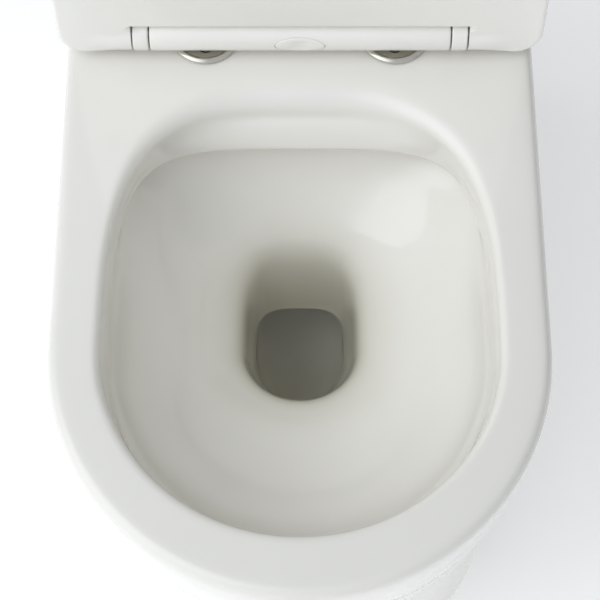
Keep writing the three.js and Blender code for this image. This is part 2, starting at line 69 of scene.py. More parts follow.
HINGE_Y = 112
HINGE_Z = 425
HINGE_R = 15  # of the bar, the lid's ears and the seat's bosses
BAR_HALF = 117
HINGE_GAP = 1.2  # side clearance between them
EAR_WIDE = 12
OPEN_ANGLE = math.radians(97)
POST_X = 75
STUD_Y = 120.5  # the posts stand off their studs' centres, for adjustment

TANK_Y = 266
TANK_HALF = 182
TANK_FRONT = 199
TANK_BACK = 333
TANK_BOTTOM = 413
TANK_TOP = 806
TANK_WALL = 11
TANK_LID_TOP = 838
COUPLING_X = 80
FILL_X = -130


# ---- Camera, light and floor ----
def camera():
    elevation = math.radians(65)
    away = 1.25
    target = Vector((0.0, -0.111, 0.405))
    data = bpy.data.cameras.new("camera")
    data.sensor_width = 36
    data.lens = 101.6
    eye = bpy.data.objects.new("camera", data)
    back = Vector((0, -math.cos(elevation), math.sin(elevation)))
    eye.location = target + back * away
    eye.rotation_euler = (math.pi / 2 - elevation, 0, 0)
    bpy.context.scene.collection.objects.link(eye)
    bpy.context.scene.camera = eye


def area_light(name, place, aim, size, power, colour):
    data = bpy.data.lights.new(name, "AREA")
    data.shape = "RECTANGLE"
    data.size, data.size_y = size
    data.energy = power
    data.color = colour
    lamp = bpy.data.objects.new(name, data)
    lamp.location = place
    lamp.rotation_euler = (Vector(aim) - Vector(place)).to_track_quat("-Z", "Y").to_euler()
    bpy.context.scene.collection.objects.link(lamp)
    return lamp


def sky_glow(tree, towards, reach, low, high):
    """A colour of the room that goes from low to high as a direction nears the given one."""
    look = tree.nodes.new("ShaderNodeTexCoord")
    nearness = tree.nodes.new("ShaderNodeVectorMath")
    nearness.operation = "DOT_PRODUCT"
    nearness.inputs[1].default_value = towards
    tree.links.new(look.outputs["Generated"], nearness.inputs[0])
    share = tree.nodes.new("ShaderNodeMapRange")
    share.interpolation_type = "SMOOTHSTEP"
    share.inputs["From Min"].default_value = reach[0]
    share.inputs["From Max"].default_value = reach[1]
    tree.links.new(nearness.outputs["Value"], share.inputs["Value"])
    return blend_colours(tree, share.outputs["Result"], low, high)


def studio():
    scene = bpy.context.scene
    scene.view_settings.view_transform = "Standard"
    world = bpy.data.worlds.new("studio")
    world.use_nodes = True
    tree = world.node_tree
    shade = tree.nodes["Background"]
    shade.inputs["Strength"].default_value = 1.0
    # A pale room that is brightest in front and dim behind, with one broad window high on the left.
    front, high_left = (-0.36, -0.82, 0.44), (-0.64, -0.33, 0.695)
    room = sky_glow(tree, front, (-0.75, 0.84), (0.16, 0.166, 0.173), (0.60, 0.625, 0.652))
    window = sky_glow(tree, high_left, (0.72, 0.98), (0, 0, 0), (1.02, 1.055, 1.105))
    both = tree.nodes.new("ShaderNodeMix")
    both.data_type = "RGBA"
    both.blend_type = "ADD"
    both.inputs["Factor"].default_value = 1
    tree.links.new(room, both.inputs["A"])
    tree.links.new(window, both.inputs["B"])
    tree.links.new(both.outputs["Result"], shade.inputs["Color"])
    scene.world = world
    lamp = area_light("window", (-1.00, -0.35, 1.60), (0, 0, 0.4), (1.2, 1.0), 6, (0.92, 0.955, 1.0))
    lamp.visible_glossy = False  # the glow above gives the soft reflection


def floor():
    mesh = bmesh.new()
    bmesh.ops.create_grid(mesh, x_segments=1, y_segments=1, size=40)
    data = bpy.data.meshes.new("floor")
    mesh.to_mesh(data)
    mesh.free()
    ground = bpy.data.objects.new("floor", data)
    bpy.context.scene.collection.objects.link(ground)
    paint = bpy.data.materials.new("floor paint")
    paint.use_nodes = True
    shader = paint.node_tree.nodes["Principled BSDF"]
    shader.inputs["Base Color"].default_value = (0.9, 0.9, 0.9, 1)
    shader.inputs["Roughness"].default_value = 0.7
    shader.inputs["Emission Color"].default_value = (1, 1, 1, 1)
    shader.inputs["Emission Strength"].default_value = 0.30
    data.materials.append(paint)


# ---- Materials ----
def noise(tree, spot, scale, detail, stretch=(1, 1, 1)):
    """A noise on the piece's own coordinates, scale in cycles per metre."""
    place = tree.nodes.new("ShaderNodeMapping")
    place.inputs["Scale"].default_value = stretch
    tree.links.new(spot.outputs["Object"], place.inputs["Vector"])
    grain = tree.nodes.new("ShaderNodeTexNoise")
    grain.inputs["Scale"].default_value = scale
    grain.inputs["Detail"].default_value = detail
    tree.links.new(place.outputs["Vector"], grain.inputs["Vector"])
    return grain.outputs["Fac"]


def spread(tree, value, low, high):
    """Stretches a noise's usual range over low to high."""
    reach = tree.nodes.new("ShaderNodeMapRange")
    reach.inputs["From Min"].default_value = 0.3
    reach.inputs["From Max"].default_value = 0.7
    reach.inputs["To Min"].default_value = low
    reach.inputs["To Max"].default_value = high
    tree.links.new(value, reach.inputs["Value"])
    return reach.outputs["Result"]


def blend_colours(tree, value, low, high):
    mix = tree.nodes.new("ShaderNodeMix")
    mix.data_type = "RGBA"
    mix.inputs["A"].default_value = (*low, 1)
    mix.inputs["B"].default_value = (*high, 1)
    tree.links.new(value, mix.inputs["Factor"])
    return mix.outputs["Result"]


def shade_towards(tree, spot, plain, colour, place, near, far):
    """Painted shade: the plain colour away from a place on the piece, going over to another colour close to
    it.
    """
    gap = tree.nodes.new("ShaderNodeVectorMath")
    gap.operation = "DISTANCE"
    gap.inputs[1].default_value = place
    tree.links.new(spot.outputs["Object"], gap.inputs[0])
    share = tree.nodes.new("ShaderNodeMapRange")
    share.interpolation_type = "SMOOTHSTEP"
    share.inputs["From Min"].default_value = far
    share.inputs["From Max"].default_value = near
    tree.links.new(gap.outputs["Value"], share.inputs["Value"])
    both = tree.nodes.new("ShaderNodeMix")
    both.data_type = "RGBA"
    tree.links.new(share.outputs["Result"], both.inputs["Factor"])
    tree.links.new(plain, both.inputs["A"])
    both.inputs["B"].default_value = (*colour, 1)
    return both.outputs["Result"]


def finish_of(name, colours, rough, patch, fine, bumps, stretch=(1, 1, 1), painted_shade=None, **sockets):
    """Colour drifts between two tones over patches, roughness varies finely, and each bump has its own scale.

    A bump is (scale, strength, distance). A painted shade is (colour, place, near, far): painted shade, a
    colour that the base colour goes over to near a place, standing for the shade that falls there. Other
    values go on the shader's sockets of those names.
    """
    material = bpy.data.materials.new(name)
    material.use_nodes = True
    tree = material.node_tree
    shader = tree.nodes["Principled BSDF"]
    spot = tree.nodes.new("ShaderNodeTexCoord")
    drift = spread(tree, noise(tree, spot, patch, 3), 0, 1)
    paint = blend_colours(tree, drift, *colours)
    # Painted shade: towards the given place the colour goes over to a darker one.
    if painted_shade:
        paint = shade_towards(tree, spot, paint, *painted_shade)
    tree.links.new(paint, shader.inputs["Base Color"])
    tree.links.new(spread(tree, noise(tree, spot, fine, 3, stretch), *rough), shader.inputs["Roughness"])
    normal = None
    for scale, strength, depth in bumps:
        bump = tree.nodes.new("ShaderNodeBump")
        bump.inputs["Strength"].default_value = strength
        bump.inputs["Distance"].default_value = depth
        tree.links.new(noise(tree, spot, scale, 2, stretch), bump.inputs["Height"])
        if normal:
            tree.links.new(normal, bump.inputs["Normal"])
        normal = bump.outputs["Normal"]
    tree.links.new(normal, shader.inputs["Normal"])
    for socket, value in sockets.items():
        shader.inputs[socket.replace("_", " ")].default_value = value
    return material


# Painted shade: the glaze's colour goes darker towards the well of the bowl, to stand for the shade that
# falls there.
glaze = finish_of(
    "glazed china", ((0.835, 0.813, 0.758), (0.853, 0.831, 0.780)), (0.045, 0.085),
    patch=9, fine=160, bumps=((38, 0.10, 0.0006), (260, 0.05, 0.00012)),
    painted_shade=((0.65, 0.625, 0.53), (0, -0.064, 0.175), 0.05, 0.15), IOR=1.52, Coat_Weight=0.15,
    Coat_Roughness=0.03,
)
cistern_glaze = finish_of(
    "cistern china", ((0.835, 0.814, 0.755), (0.850, 0.829, 0.772)), (0.05, 0.09),
    patch=7, fine=160, bumps=((30, 0.10, 0.0006), (260, 0.05, 0.00012)), IOR=1.52, Coat_Weight=0.15,
    Coat_Roughness=0.03,
)
seat_plastic = finish_of(
    "seat plastic", ((0.88, 0.86, 0.81), (0.90, 0.88, 0.83)), (0.10, 0.15),
    patch=14, fine=300, bumps=((55, 0.05, 0.0004), (900, 0.04, 0.00005)), IOR=1.49,
)
bar_plastic = finish_of(
    "hinge bar plastic", ((0.90, 0.88, 0.83), (0.92, 0.90, 0.85)), (0.16, 0.22),
    patch=20, fine=400, bumps=((1100, 0.05, 0.00005),), IOR=1.48,
)
white_plastic = finish_of(
    "moulded white plastic", ((0.74, 0.75, 0.74), (0.78, 0.79, 0.78)), (0.32, 0.42),
    patch=30, fine=500, bumps=((1400, 0.12, 0.00006),), IOR=1.47,
)
blue_plastic = finish_of(
    "blue plastic", ((0.02, 0.09, 0.34), (0.03, 0.12, 0.40)), (0.30, 0.40),
    patch=30, fine=500, bumps=((1400, 0.12, 0.00006),), IOR=1.47,
)
chrome = finish_of(
    "chrome plate", ((0.62, 0.60, 0.54), (0.68, 0.66, 0.60)), (0.06, 0.11),
    patch=40, fine=900, bumps=((2500, 0.02, 0.00001),), Metallic=1.0,
)
steel = finish_of(
    "zinc plated steel", ((0.50, 0.50, 0.48), (0.60, 0.60, 0.57)), (0.26, 0.40),
    patch=60, fine=700, bumps=((800, 0.10, 0.0001),), stretch=(1, 1, 0.1), Metallic=1.0,
)
rubber = finish_of(
    "black rubber", ((0.018, 0.018, 0.018), (0.028, 0.027, 0.026)), (0.55, 0.70),
    patch=60, fine=600, bumps=((1500, 0.25, 0.0001),), IOR=1.5,
)
clear_rubber = finish_of(
    "soft buffer", ((0.62, 0.63, 0.61), (0.68, 0.69, 0.67)), (0.35, 0.45),
    patch=80, fine=700, bumps=((1200, 0.1, 0.00008),), IOR=1.43, Subsurface_Weight=0.35,
)


# ---- Making pieces ----
SHARP = 35  # edges with a wider angle than this, in degrees, stay sharp


def turn_open(mesh):
    """Swings a seat or lid, shaped closed about the hinge axis, up to its raised place."""
    swing = Matrix.Translation((0, HINGE_Y, HINGE_Z)) @ Matrix.Rotation(-OPEN_ANGLE, 4, "X")
    bmesh.ops.transform(mesh, matrix=swing, verts=mesh.verts)


def make_piece(mesh, name, material, sharp=SHARP, flat_true=False, levels=0):
    """Takes a shape to a piece in metres, shaded smooth but for edges over the sharp angle."""
    bmesh.ops.scale(mesh, vec=(MM, MM, MM), verts=mesh.verts)
    data = bpy.data.meshes.new(name)
    mesh.to_mesh(data)
    mesh.free()
    data.materials.append(material)
    data.shade_smooth()
    if sharp:
        data.set_sharp_from_angle(angle=math.radians(sharp))
    made = bpy.data.objects.new(name, data)
    bpy.context.scene.collection.objects.link(made)
    if levels:
        rounder = made.modifiers.new("smooth", "SUBSURF")
        rounder.levels = rounder.render_levels = levels
    if flat_true:
        normals = made.modifiers.new("true flats", "WEIGHTED_NORMAL")
        normals.keep_sharp = True
    return made


def settle(made, body, node):
    """Rides a piece on its body and hides the node that it stands for."""
    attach(made, body)
    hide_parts(node)


def carve(made, mesh):
    """Cuts a shape out of a piece."""
    tool = make_piece(mesh, "cutter", made.data.materials[0], sharp=0)
    saw = made.modifiers.new("cut", "BOOLEAN")
    saw.operation = "DIFFERENCE"
    saw.object = tool
    saw.solver = "EXACT"
    bpy.context.view_layer.update()
    seen = made.evaluated_get(bpy.context.evaluated_depsgraph_get())
    cut_mesh = bpy.data.meshes.new_from_object(seen)
    old = made.data
    made.modifiers.clear()
    made.data = cut_mesh
    cut_mesh.name = made.name
    bpy.data.meshes.remove(old)
    data = tool.data
    bpy.data.objects.remove(tool)
    bpy.data.meshes.remove(data)
    made.data.shade_smooth()
    made.data.set_sharp_from_angle(angle=math.radians(SHARP))


def ring_loft(rings, closed=False, start_cap=False, end_cap=False):
    """Draws a ring of points out from level to level. All rings have the same number of points."""
    mesh = bmesh.new()
    slot = mesh.verts.layers.int.new("slot")
    ring = bmesh.ops.create_circle(mesh, segments=len(rings[0]), radius=1)["verts"]
    for i, vert in enumerate(ring):
        vert[slot] = i
        vert.co = rings[0][i]
    first_edges = edges = list(mesh.edges)
    for points in rings[1:]:
        grown = bmesh.ops.extrude_edge_only(mesh, edges=edges)["geom"]
        fresh = {g for g in grown if isinstance(g, bmesh.types.BMVert)}
        edges = [g for g in grown if isinstance(g, bmesh.types.BMEdge) and set(g.verts) <= fresh]
        for vert in fresh:
            vert.co = points[vert[slot]]
    if start_cap:
        bmesh.ops.edgeloop_fill(mesh, edges=first_edges)
    if end_cap:
        bmesh.ops.edgeloop_fill(mesh, edges=edges)
    if closed:
        bmesh.ops.remove_doubles(mesh, verts=mesh.verts, dist=0.001)
    bmesh.ops.recalc_face_normals(mesh, faces=mesh.faces)
    return mesh


def turned(profile, segments, place=(0, 0, 0), axis=None, tilt=0.0):
    """Spins a profile of (radius, height) pairs round +Z, then tilts it about an axis and moves it."""
    mesh = bmesh.new()
    line = [mesh.verts.new((r, 0, z)) for r, z in profile]
    edges = [mesh.edges.new(pair) for pair in zip(line, line[1:])]
    bmesh.ops.spin(
        mesh, geom=line + edges, cent=(0, 0, 0), axis=(0, 0, 1), angle=2 * math.pi, steps=segments,
        use_merge=True,
    )
    bmesh.ops.remove_doubles(mesh, verts=mesh.verts, dist=0.0005)
    bmesh.ops.recalc_face_normals(mesh, faces=mesh.faces)
    if axis:
        bmesh.ops.transform(mesh, matrix=Matrix.Rotation(tilt, 4, axis), verts=mesh.verts)
    bmesh.ops.translate(mesh, vec=place, verts=mesh.verts)
    return mesh


def arc(cx, cy, r, from_deg, to_deg, steps):
    """Points of an arc, ends included."""
    angles = [math.radians(from_deg + (to_deg - from_deg) * i / steps) for i in range(steps + 1)]
    return [(cx + r * math.cos(a), cy + r * math.sin(a)) for a in angles]


def plate(outline, low, high, edge, hole=None, segments=4, keep=lambda edge: False):
    """A flat plate from an outline. Its level edges are rounded, but for those to keep sharp."""
    mesh = bmesh.new()
    edges = []
    for loop in filter(None, (outline, hole)):
        verts = [mesh.verts.new((x, y, low)) for x, y in loop]
        edges += [mesh.edges.new((a, b)) for a, b in zip(verts, verts[1:] + verts[:1])]
    if hole:
        bmesh.ops.triangle_fill(
            mesh, use_beauty=True, use_dissolve=False, edges=edges, normal=(0, 0, 1),
        )
    else:
        bmesh.ops.edgeloop_fill(mesh, edges=edges)
    grown = bmesh.ops.extrude_face_region(mesh, geom=list(mesh.faces))["geom"]
    top = [g for g in grown if isinstance(g, bmesh.types.BMVert)]
    bmesh.ops.translate(mesh, vec=(0, 0, high - low), verts=top)
    bmesh.ops.recalc_face_normals(mesh, faces=mesh.faces)
    mesh.normal_update()
    level = [e for e in mesh.edges if abs(e.verts[0].co.z - e.verts[1].co.z) < 0.01]
    corners = [e for e in level if e.is_manifold and e.calc_face_angle() > 1.2 and not keep(e)]
    bmesh.ops.bevel(
        mesh, geom=corners, offset=edge, offset_type="OFFSET", segments=segments, profile=0.5,
        affect="EDGES", material=-1, clamp_overlap=False,
    )
    return mesh


def block(x0, x1, y0, y1, z0, z1, edge, segments=3):
    """A box with rounded edges."""
    mesh = bmesh.new()
    bmesh.ops.create_cube(mesh, size=1)
    bmesh.ops.scale(mesh, vec=(x1 - x0, y1 - y0, z1 - z0), verts=mesh.verts)
    bmesh.ops.translate(mesh, vec=((x0 + x1) / 2, (y0 + y1) / 2, (z0 + z1) / 2), verts=mesh.verts)
    bmesh.ops.bevel(
        mesh, geom=mesh.edges, offset=edge, segments=segments, profile=0.5, affect="EDGES", material=-1,
    )
    return mesh


def joined(*meshes):
    """Puts several shapes in one, each still its own closed skin."""
    whole = bmesh.new()
    for part in meshes:
        data = bpy.data.meshes.new("part")
        part.to_mesh(data)
        part.free()
        whole.from_mesh(data)
        bpy.data.meshes.remove(data)
    return whole


# ---- Outlines ----
FRONT_STEPS, SIDE_STEPS, CORNER_STEPS, BACK_STEPS = 56, 24, 4, 16


def d_ring(half, front, back, corner, z):
    """The pan's outline: parallel sides, a half-ellipse in front and rounded back corners."""
    deep = ARC_Y - front
    points = []
    for i in range(FRONT_STEPS):
        a = math.pi * (1 + i / FRONT_STEPS)
        points.append((half * math.cos(a), ARC_Y + deep * math.sin(a), z))
    turn = math.atan2(back - corner - ARC_Y, half)
    points += [(half, ARC_Y + half * math.tan(turn * i / SIDE_STEPS), z) for i in range(SIDE_STEPS)]
    for i in range(CORNER_STEPS):
        a = math.pi / 2 * i / CORNER_STEPS
        points.append((half - corner + corner * math.cos(a), back - corner + corner * math.sin(a), z))
    flat = half - corner
    points += [(flat - 2 * flat * i / BACK_STEPS, back, z) for i in range(BACK_STEPS)]
    for i in range(CORNER_STEPS):
        a = math.pi / 2 * (1 + i / CORNER_STEPS)
        points.append((-half + corner + corner * math.cos(a), back - corner + corner * math.sin(a), z))
    points += [(-half, ARC_Y + half * math.tan(turn * (1 - i / SIDE_STEPS)), z) for i in range(SIDE_STEPS)]
    return [Vector(p) for p in points]


PAN_OUTLINE = d_ring(PAN_HALF, PAN_FRONT, PAN_BACK, PAN_CORNER, 0)


def headings(centre_y):
    """The direction of each point of the outline, from a place on the centre line."""
    return [math.atan2(p.y - centre_y, p.x) for p in PAN_OUTLINE]


def oval_ring(z, half, front, widest, back, square, grow=0.0):
    """An oval that is round in front and squarer behind, with its points on the outline's headings."""
    points = []
    for a in headings(widest):
        behind = math.sin(a) > 0
        long = (back - widest if behind else widest - front) + grow
        power = square if behind else 2
        reach = (abs(math.cos(a) / (half + grow)) ** power + abs(math.sin(a) / long) ** power) ** (-1 / power)
        points.append(Vector((reach * math.cos(a), widest + reach * math.sin(a), z)))
    return points


def smoothstep(t):
    """0 below 0, 1 above 1, and an even ease between."""
    t = min(max(t, 0), 1)
    return t * t * (3 - 2 * t)


# ---- Pan ----
# The bowl's inside from the rim down: z, half width, front, widest, back, squareness of the back.
BOWL = [
    (405, 146.5, -290, -147, 59, 3.2),
    (378, 144.4, -288, -147, 60, 3.6),
    (350, 141.5, -285, -141, 60, 4.6),
    (318, 126, -263, -134, 49, 3.8),
    (290, 100, -229, -120, 28, 3.0),
    (268, 71, -182, -102, 11, 2.9),
    (248, 50, -131, -84, 3, 3.4),
    (205, 44, -116, -76, -4, 4.0),
    (165, 38.5, -99, -62, -10, 4.5),
]
LIP = (357, 141, -290, -111, 43, 4.4)  # the lower edge of the flush shroud, read like a row of BOWL
# The trapway's centre line behind the dip, as (y, z).
TRAPWAY = [
    (-5, 126), (18, 133), (45, 152), (68, 184), (88, 218), (115, 255), (150, 273), (185, 266), (215, 240),
    (240, 210), (268, 191), (295, 185), (318, 185),
]
TRAP_R = 39
TRAP_WALL = 10
TRAP_STEPS = 30
DIP_Y = -62  # centre of the dip
FAN_STEPS = 5
# The opening for pipes in the skirt's back. The rings just under and over its top keep that edge straight.
OPENING_HALF = 120
OPENING_TOP = 299.5
# Short grooves behind the shroud's lip, one each side: their place, their width and where their floor is.
GROOVE_X = 114
GROOVE_WIDE = 17
GROOVE_FLOOR = 7.6


def bowl_at(z, grow=0.0):
    """A ring of the bowl at any height, its sizes eased between the rows of the table."""
    for k in range(len(BOWL) - 1):
        if BOWL[k + 1][0] <= z:
            break
    high, low = BOWL[k], BOWL[k + 1]
    above = BOWL[max(k - 1, 0)]
    under = BOWL[min(k + 2, len(BOWL) - 1)]
    span = high[0] - low[0]
    t = (high[0] - z) / span
    row = [z]
    for j in range(1, 6):
        leave = (low[j] - above[j]) / max(above[0] - low[0], 1) * span
        reach = (under[j] - high[j]) / max(high[0] - under[0], 1) * span
        square_t, cube_t = t * t, t * t * t
        row.append(
            (2 * cube_t - 3 * square_t + 1) * high[j] + (cube_t - 2 * square_t + t) * leave
            + (3 * square_t - 2 * cube_t) * low[j] + (cube_t - square_t) * reach
        )
    return oval_ring(*row, grow=grow)


def skirt_at(z, inset=0.0):
    """The outside of the skirt: it tucks in towards the floor, most at the front."""
    out = smoothstep((z - LEAN_FROM) / (LEAN_TO - LEAN_FROM))
    foot = 2 * max(0, 1 - z / 5)
    half = SKIRT_HALF + (PAN_HALF - SKIRT_HALF) * out - foot
    front = SKIRT_FRONT + (PAN_FRONT - SKIRT_FRONT) * out + 2 * foot
    return d_ring(half - inset, front + inset, PAN_BACK - inset, max(PAN_CORNER - inset, 2), z)


def rim_top():
    """From the outside of the rim, over its rounded edge, to the flat top."""
    rings = []
    for deg in (0, 18, 36, 54, 72, 90):
        a = math.radians(deg)
        inset = RIM_FILLET * (1 - math.cos(a))
        rings.append(skirt_at(RIM_Z - RIM_FILLET + RIM_FILLET * math.sin(a), inset))
    return rings


def mixed(a, b, weights):
    """Each point of a ring on its way to the same point of another, by its own weight."""
    return [p.lerp(q, w) for p, q, w in zip(a, b, weights)]


def bowl_edge_and_shroud():
    """From the flat top, over the bowl's inner edge, down the shroud behind and the plain wall in front."""
    top = bowl_at(RIM_Z)
    # The edge is rounder behind, and roundest in the middle there.
    rear = [smoothstep((p.y + 40) / 90) for p in top]
    radius = [7 + w * (15 - 10 * smoothstep((abs(p.x) - 30) / 80)) for w, p in zip(rear, top)]
    # 1 where the shroud hides the bowl's wall, 0 where the wall is plain.
    hidden = [smoothstep((p.y + 51) / 35) for p in top]
    out = [q - p for p, q in zip(top, bowl_at(RIM_Z, 1))]
    rings = [[p + o * (r + 4) for p, o, r in zip(top, out, radius)]]
    for deg in (0, 15, 30, 45, 60, 75, 90):
        a = math.radians(deg)
        ring = []
        for p, o, r in zip(top, out, radius):
            spot = p + o * r * (1 - math.sin(a))
            spot.z = RIM_Z - r * (1 - math.cos(a))
            ring.append(spot)
        rings.append(ring)
    # (height on the plain wall, height on the shroud, growth, how far from the top's shape to the lip's)
    steps = [
        (388, 380.5, 0, 0.26), (382, 376, 0, 0.46), (376, 370.5, 0, 0.68), (371, 365, 0, 0.85),
        (367, 361, 0, 0.95), (364, 358.6, 0.4, 1), (361.5, 357.4, 1.6, 1),
    ]
    for plain_z, shroud_z, grow, near_lip in steps:
        lip = oval_ring(shroud_z, *LIP[1:], grow=grow)
        above = oval_ring(shroud_z, *BOWL[0][1:])
        shroud = mixed(above, lip, [near_lip] * len(lip))
        rings.append(mixed(bowl_at(plain_z), shroud, hidden))
    # Under the lip, from its edge back to the bowl's wall, with the grooves.
    corner = [math.exp(-(((abs(p.x) - GROOVE_X) / GROOVE_WIDE) ** 2)) * w for p, w in zip(top, hidden)]
    # (height on the plain wall, height under the lip, how far from the lip's shape to the wall's, groove)
    steps = [
        (359, 357, 0.15, 0), (356.5, 356.8, 0.5, 0.7), (353.5, 356, 0.85, 1), (350.5, 353.5, 0.98, 1),
        (347, 349.5, 1, 1), (342, 343.5, 1, 0.8), (337, 337.5, 1, 0.25), (332, 332, 1, 0),
    ]
    for plain_z, z, back, groove in steps:
        wall = mixed(bowl_at(z, 0.6), bowl_at(z, GROOVE_FLOOR), [groove * c for c in corner])
        under = mixed(oval_ring(z, *LIP[1:], grow=1.6), wall, [back] * len(hidden))
        rings.append(mixed(bowl_at(plain_z), under, hidden))
    return rings


def fan(pivot, long, short, wide, narrow):
    """Rings that swing from level to upright about the dip's edge, between the well and the trapway.

    The reach from the pivot goes from long to short, and half the width goes from wide to narrow.
    """
    rings = []
    angles = headings(DIP_Y)
    for i in range(1, FAN_STEPS + 1):
        swing = math.pi / 2 * i / FAN_STEPS
        t = i / FAN_STEPS
        reach = long + (short - long) * t
        half = wide + (narrow - wide) * t
        cy = pivot[0] - reach * math.cos(swing)
        cz = pivot[1] - reach * math.sin(swing)
        along = Vector((0, math.cos(swing), math.sin(swing)))
        deep = reach - 4
        power = 4.5 - 2.5 * t
        ring = []
        for a in angles:
            n = power if math.sin(a) > 0 else 2
            r = (abs(math.cos(a) / half) ** n + abs(math.sin(a) / deep) ** n) ** (-1 / n)
            ring.append(Vector((r * math.cos(a), cy, cz)) + along * (r * math.sin(a)))
        rings.append(ring)
    return rings


def trap_rings(radius):
    """Round rings along the trapway's centre line, square to it."""
    def point(t):
        k = min(int(t), len(TRAPWAY) - 2)
        f = t - k
        p = [Vector(TRAPWAY[min(max(k + j, 0), len(TRAPWAY) - 1)]) for j in (-1, 0, 1, 2)]
        return 0.5 * (
            2 * p[1] + (p[2] - p[0]) * f + (2 * p[0] - 5 * p[1] + 4 * p[2] - p[3]) * f * f
            + (3 * p[1] - p[0] - 3 * p[2] + p[3]) * f ** 3
        )
    rings = []
    last = len(TRAPWAY) - 1
    for i in range(1, TRAP_STEPS + 1):
        t = last * i / TRAP_STEPS
        here = point(t)
        ahead = (point(min(t + 0.05, last)) - point(t - 0.05)).normalized()
        if i == TRAP_STEPS:
            ahead = Vector((1, 0))  # the outlet's end is upright
        up = Vector((0, -ahead.y, ahead.x))
        ring = []
        for a in headings(DIP_Y):
            ring.append(Vector((radius * math.cos(a), here.x, here.y)) + up * (radius * math.sin(a)))
        rings.append(ring)
    return rings


def pan_shape():
    """One skin: inside the skirt, out round its foot, up over the rim, down the bowl, through and back."""
    under = RIM_Z - CHINA
    rings = [bowl_at(under - 4, CHINA - 2), bowl_at(under - 1, CHINA + 1), bowl_at(under, CHINA + 5)]
    rings += [skirt_at(under, CHINA + 8), skirt_at(under - 2, CHINA + 2), skirt_at(under - 8, CHINA)]
    rings += [skirt_at(z, CHINA) for z in (372, 340, 300, 299, 240, 180, 120, 60, 12, 2)]
    rings += [skirt_at(0, CHINA - 2), skirt_at(0, 2.5), skirt_at(0.7, 0.8)]
    rings += [skirt_at(z) for z in (3, 12, 60, 120, 180, 240, 270, 299, 300, 325, 350, 372, 386)]
    rings += rim_top()
    rings += bowl_edge_and_shroud()
    rings += [bowl_at(z) for z in (327, 318, 308, 298, 288, 279, 271, 264, 257, 249, 240, 225, 205, 190, 177)]
    rings += [bowl_at(171)] + fan((-6, 171), long=48, short=43, wide=38.8, narrow=TRAP_R)
    rings += trap_rings(TRAP_R)
    rings += trap_rings(TRAP_R + TRAP_WALL)[::-1]
    rings += fan((6, 189), long=64, short=58, wide=49, narrow=TRAP_R + TRAP_WALL)[::-1]
    outside = (192, 205, 225, 240, 250, 258, 266, 275, 286, 300, 318, 340, 365, 382)
    rings += [bowl_at(z, CHINA - 2) for z in outside]
    rings.append([p.copy() for p in rings[0]])
    return ring_loft(rings, closed=True)


def open_the_back(mesh):
    """Cuts the way in for pipes through both skins of the skirt's back, and walls the cut's sides."""
    gone = []
    for face in mesh.faces:
        spot = face.calc_center_median()
        if abs(spot.x) < OPENING_HALF and spot.y > PAN_BACK - CHINA - 3 and spot.z < OPENING_TOP:
            gone.append(face)
    bmesh.ops.delete(mesh, geom=gone, context="FACES")
    skins = [[], []]
    for edge in [e for e in mesh.edges if e.is_boundary]:
        mid = (edge.verts[0].co + edge.verts[1].co) / 2
        if mid.z > 1.9:  # the edges along the foot are closed by the fill below
            skins[mid.y > PAN_BACK - CHINA / 2].append(edge)
    bmesh.ops.bridge_loops(mesh, edges=skins[0] + skins[1])
    left_open = [e for e in mesh.edges if e.is_boundary]
    bmesh.ops.holes_fill(mesh, edges=left_open, sides=0)
    bmesh.ops.recalc_face_normals(mesh, faces=mesh.faces)


def pan():
    mesh = pan_shape()
    open_the_back(mesh)
    made = make_piece(mesh, "pan_china", glaze, sharp=60, levels=1)
    settle(made, "pan_and_tank", "pan")


# ---- Hinge ----
def bar_profile(half, r, edge):
    """Half the outline of a rod along Z with rounded ends, as (radius, height) pairs."""
    right = [(r - edge + edge * math.cos(a), half - edge + edge * math.sin(a)) for a in
             (0, math.pi / 8, math.pi / 4, 3 * math.pi / 8, math.pi / 2)]
    left = [(x, -z) for x, z in reversed(right)]
    return [(0, -half)] + left + [(r, -half / 2), (r, 0), (r, half / 2)] + right + [(0, half)]


OVAL_STEPS = 72
BUTTON_WIDE, BUTTON_TALL = 19.4, 7.4
BUTTON_UP = 1.2  # its middle above the bar's
BUTTON_BACK = -5.3


def oval_prism(half_x, half_z, y0, y1):
    angles = [2 * math.pi * i / OVAL_STEPS for i in range(OVAL_STEPS)]
    ring = [(half_x * math.cos(a), half_z * math.sin(a)) for a in angles]
    return ring_loft([[Vector((x, y, z)) for x, z in ring] for y in (y0, y1)], start_cap=True, end_cap=True)


def hinge_bar():
    """The bar, with an oval pocket for the button in front and a hole for each post below."""
    axis_at = (0, HINGE_Y, HINGE_Z)
    mesh = turned(bar_profile(BAR_HALF, HINGE_R, 1.5), 96, axis_at, "Y", math.pi / 2)
    made = make_piece(mesh, "hinge_bar_moulding", bar_plastic)
    pocket = oval_prism(BUTTON_WIDE + 0.5, BUTTON_TALL + 0.5, HINGE_Y - HINGE_R - 2, HINGE_Y - 1.5)
    bmesh.ops.translate(pocket, vec=(0, 0, HINGE_Z + BUTTON_UP), verts=pocket.verts)
    carve(made, pocket)
    post_hole = [(0, -40), (7.1, -40), (7.1, 10), (0, 10)]
    for side in (-1, 1):
        carve(made, turned(post_hole, 40, (side * POST_X, HINGE_Y, HINGE_Z)))
    settle(made, "hinge_bar_body", "hinge_bar")


